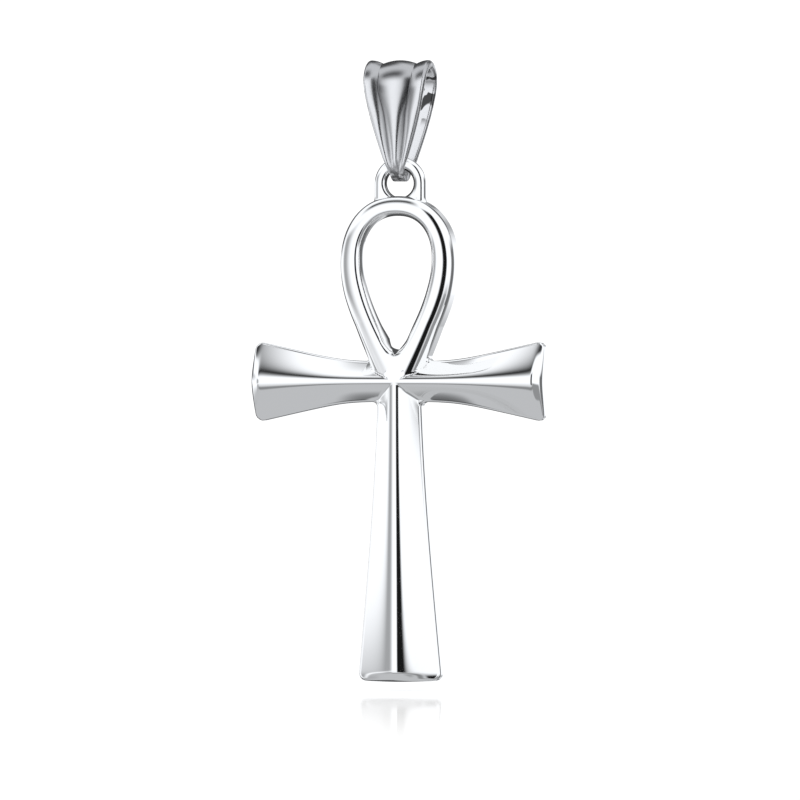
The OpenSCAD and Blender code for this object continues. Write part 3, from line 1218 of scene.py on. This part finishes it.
@dataclass
class Bail:
    """The fluted band that is folded over at the top and closed at its foot.

    Places across it are shares of half its width. They pass from the low ones to the others while the band's
    spread goes through drift. Up to the share waist of its height it keeps the width of the foot.
    """

    plan: Plan
    wall: float = 0.81
    top_gap: float = 3.06
    foot_gap: float = 2.16
    top_w: float = 4.9
    groove_depth: float = 0.26
    groove_dig: float = 1.6
    groove_fade: float = 3.0
    groove_soft: float = 0.15
    groove_at: float = 0.53
    rib_at: float = 0.9
    low_groove_at: float = 0.42
    low_rib_at: float = 0.78
    drift: Pair = (0.7, 0.98)
    rib_fall: float = 0.15
    waist: float = 0.05
    edge_share: float = 0.1
    along_steps: int = 300
    out_steps: int = 88
    in_steps: int = 24
    edge_steps: int = 14

    def _net(self) -> Mesh:
        """Makes the closed net that the tree shapes.

        Returns:
            The net, with its places along, across and through the band as attributes.
        """
        turn = np.radians(np.linspace(-90, 90, self.edge_steps, endpoint=False))
        reach = 1 - self.edge_share
        edge = 1 - self.edge_share * (1 - np.cos(turn))
        inner = np.linspace(-reach, reach, self.in_steps, endpoint=False)
        outer = np.linspace(reach, -reach, self.out_steps, endpoint=False)
        rise = (1 + np.sin(turn)) / 2
        across = np.concatenate([inner, edge, outer, -edge])
        through = np.concatenate([0 * inner, rise, 1 + 0 * outer, 1 - rise])
        n, m = self.along_steps, len(across)
        net = np.arange(n * m).reshape(n, m)
        ahead = np.roll(net, -1, 0)
        quads = np.stack([net, np.roll(net, -1, 1), np.roll(ahead, -1, 1), ahead], -1)
        mesh = bpy.data.meshes.new("bail_net")
        mesh.from_pydata([(i, j, 0) for i in range(n) for j in range(m)], [], quads.reshape(-1, 4).tolist())
        places = (np.repeat(np.arange(n) / n, m), np.tile(across, n), np.tile(through, n))
        for name, place in zip(("along", "across", "through"), places):
            mesh.attributes.new(name, "FLOAT", "POINT").data.foreach_set("value", place.astype(np.float32))
        return mesh

    def build(self) -> Object:
        """Grows the band from its tree.

        Returns:
            The new object, in metres.
        """
        top, foot = self.top_gap / 2, self.foot_gap / 2
        span = self.plan.bail_hollow - top - foot
        tilt = -math.asin((top - foot) / span)
        leaf = span * math.cos(tilt)
        runs = [top * (math.pi - 2 * tilt), leaf, foot * (math.pi + 2 * tilt), leaf]
        stops = (np.concatenate([[0], np.cumsum(runs)]) / sum(runs)).tolist()
        sizes = {
            "hollow": self.plan.bail_hollow, "wall": self.wall, "top_r": top, "foot_r": foot,
            "top_w": self.top_w, "foot_w": self.plan.bail_foot_w, "ring_hole": self.plan.ring_hole,
            "groove_depth": self.groove_depth, "groove_soft": self.groove_soft, "waist": self.waist,
        }
        ribs = {name: getattr(self, name) for name in ("low_groove_at", "groove_at", "low_rib_at", "rib_at")}
        grower = GrowingTree("fluted_band", sizes | ribs)
        m = grower.maker
        hollow, wall, top_r, foot_r, top_w, foot_w, hole, depth, soft, waist = map(grower.size, sizes)
        low_groove, high_groove, low_rib, high_rib = map(grower.size, ribs)
        along, across, through = (
            m.value("GeometryNodeInputNamedAttribute", {"Name": name}, data_type="FLOAT")
            for name in ("along", "across", "through")
        )
        over, down, under, back = (along.ramp(*ends, smooth=False) for ends in zip(stops, stops[1:]))
        angle = tilt + over * (math.pi - 2 * tilt) + under * (math.pi + 2 * tilt)
        low = down - back
        cosine, sine = m.math("COSINE", angle), m.math("SINE", angle)
        radius = mix(top_r, foot_r, low)
        y, z = radius * cosine, mix(-1 * top_r, foot_r - hollow, low) + radius * sine
        up = (z + wall * sine + hollow + wall) / (hollow + 2 * wall)
        spread = m.math("SINE", ((up - waist) / (1 - waist)).at_least(0.0) * (math.pi / 2))
        half = mix(foot_w, top_w, spread) / 2
        fade = 1 - (1 - spread) ** self.groove_fade
        depth = depth * (1 + self.groove_dig * (1 - spread)) * fade
        high = spread.ramp(*self.drift)
        groove_at = mix(low_groove, high_groove, high)
        rib_at = mix(low_rib, high_rib, high)
        u = abs(across)
        outer = ((rib_at - u).at_least(-self.rib_fall) / (rib_at - groove_at)) ** 2.0
        groove = m.math("SMOOTH_MIN", (u / groove_at) ** 2.0, outer, soft)
        bore = hole / 2
        seat = bore - m.math("SQRT", bore**2.0 - (u * foot_w / 2) ** 2.0)
        height = mix(seat, wall - depth * groove, through)
        place = m.vector(across * half, y + height * cosine, z + height * sine)
        shape = m.value("GeometryNodeSetPosition", {"Geometry": grower.size("Geometry"), "Position": place})
        # the groove attribute carries the painted shade of the grooves to the silver
        for name, value in (("groove", groove * through * fade), ("inside", 1 - through)):
            stored = {"Geometry": shape, "Name": name, "Value": value}
            shape = m.value("GeometryNodeStoreNamedAttribute", stored, data_type="FLOAT", domain="POINT")
        return grower.grow("bail_band", shape, BailSilver().material(), self._net())


# The studio


@dataclass
class Studio:
    """The pale floor, the light tent that the silver mirrors, the light and the camera.

    The floor lies floor_gap under the pendant's lowest point. The camera stands azimuth degrees to the right
    of the front, and origin_px is the place of the origin in the picture.
    """

    foot_z: float
    floor_gap: float = 0.65
    floor_half: float = 4000.0
    tent_r: float = 3000.0
    tent_steps: tuple[int, int] = (96, 48)
    glow: float = 1.12
    azimuth: float = 14.0
    distance: float = 900.0
    image_px: float = 800.0
    px_per_mm: float = 13.333
    origin_px: Pair = (400.4, 71.0)
    sensor_w: float = 36.0
    clip: Pair = (10.0, 20000.0)

    def build(self) -> None:
        """Builds everything round the pendant."""
        self._floor()
        self._tent()
        self._world()
        self._camera()

    def _floor(self) -> None:
        """Lays the pale floor, which mirrors the foot faintly."""
        half = self.floor_half * MM
        z = (self.foot_z - self.floor_gap) * MM
        mesh = bpy.data.meshes.new("floor")
        square = [(-half, -half, z), (half, -half, z), (half, half, z), (-half, half, z)]
        mesh.from_pydata(square, [], [(0, 1, 2, 3)])
        mesh.materials.append(PaleFloor().material())
        floor = add_object("floor", mesh)
        floor.visible_glossy = False
        floor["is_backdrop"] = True

    def _tent(self) -> None:
        """Hangs the tent: a bright ball with darker panels, seen only in the silver."""
        mesh = bpy.data.meshes.new("tent")
        work = bmesh.new()
        around, up = self.tent_steps
        bmesh.ops.create_uvsphere(work, u_segments=around, v_segments=up, radius=self.tent_r * MM)
        work.to_mesh(mesh)
        work.free()
        mesh.materials.append(TentCloth().material())
        tent = add_object("tent", mesh)
        for ray in ("camera", "diffuse", "shadow", "transmission", "volume_scatter"):
            setattr(tent, "visible_" + ray, False)
        tent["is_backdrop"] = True

    def _world(self) -> None:
        """Lights the studio evenly."""
        scene = bpy.context.scene
        world = bpy.data.worlds.new("studio")
        world.use_nodes = True
        back = world.node_tree.nodes["Background"]
        back.inputs["Color"].default_value = (1, 1, 1, 1)
        back.inputs["Strength"].default_value = self.glow
        scene.world = world
        scene.view_settings.view_transform = "Standard"

    def _camera(self) -> None:
        """Puts the camera where the photograph was taken."""
        data = bpy.data.cameras.new("camera")
        camera = add_object("camera", data)
        turn = math.radians(self.azimuth)
        right = Vector((math.cos(turn), math.sin(turn), 0))
        back = Vector((math.sin(turn), -math.cos(turn), 0))
        aside = (self.image_px / 2 - self.origin_px[0]) / self.px_per_mm
        level = (self.origin_px[1] - self.image_px / 2) / self.px_per_mm
        target = right * aside + Vector((0, 0, level))
        camera.location = (target + back * self.distance) * MM
        camera.rotation_euler = (math.pi / 2, 0, turn)
        data.sensor_width = self.sensor_w
        data.lens = data.sensor_width * self.distance * self.px_per_mm / self.image_px
        data.clip_start, data.clip_end = (end * MM for end in self.clip)
        bpy.context.scene.camera = camera


def main() -> None:
    """Builds the pendant's pieces in order and dresses them."""
    logging.basicConfig(level=logging.INFO, format="%(name)s: %(message)s")
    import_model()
    solid_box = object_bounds()
    plan = Plan()
    pieces = (
        (Ankh(plan).build(Silver().material()), Body.ANKH, True),
        (HangingRing(plan).build(), Body.ANKH, False),
        (Bail(plan).build(), Body.BAIL, True),
    )
    for piece, body, stands_for in pieces:
        if stands_for:
            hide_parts(body.value)
        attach(piece, body.value)
        piece.visible_glossy = body is not Body.BAIL
        log.info("%s rides on %s, %d faces", piece.name, body.value, len(piece.data.polygons))
    Studio(foot_z=solid_box[0][2] / MM).build()


if __name__ == "__main__":
    main()
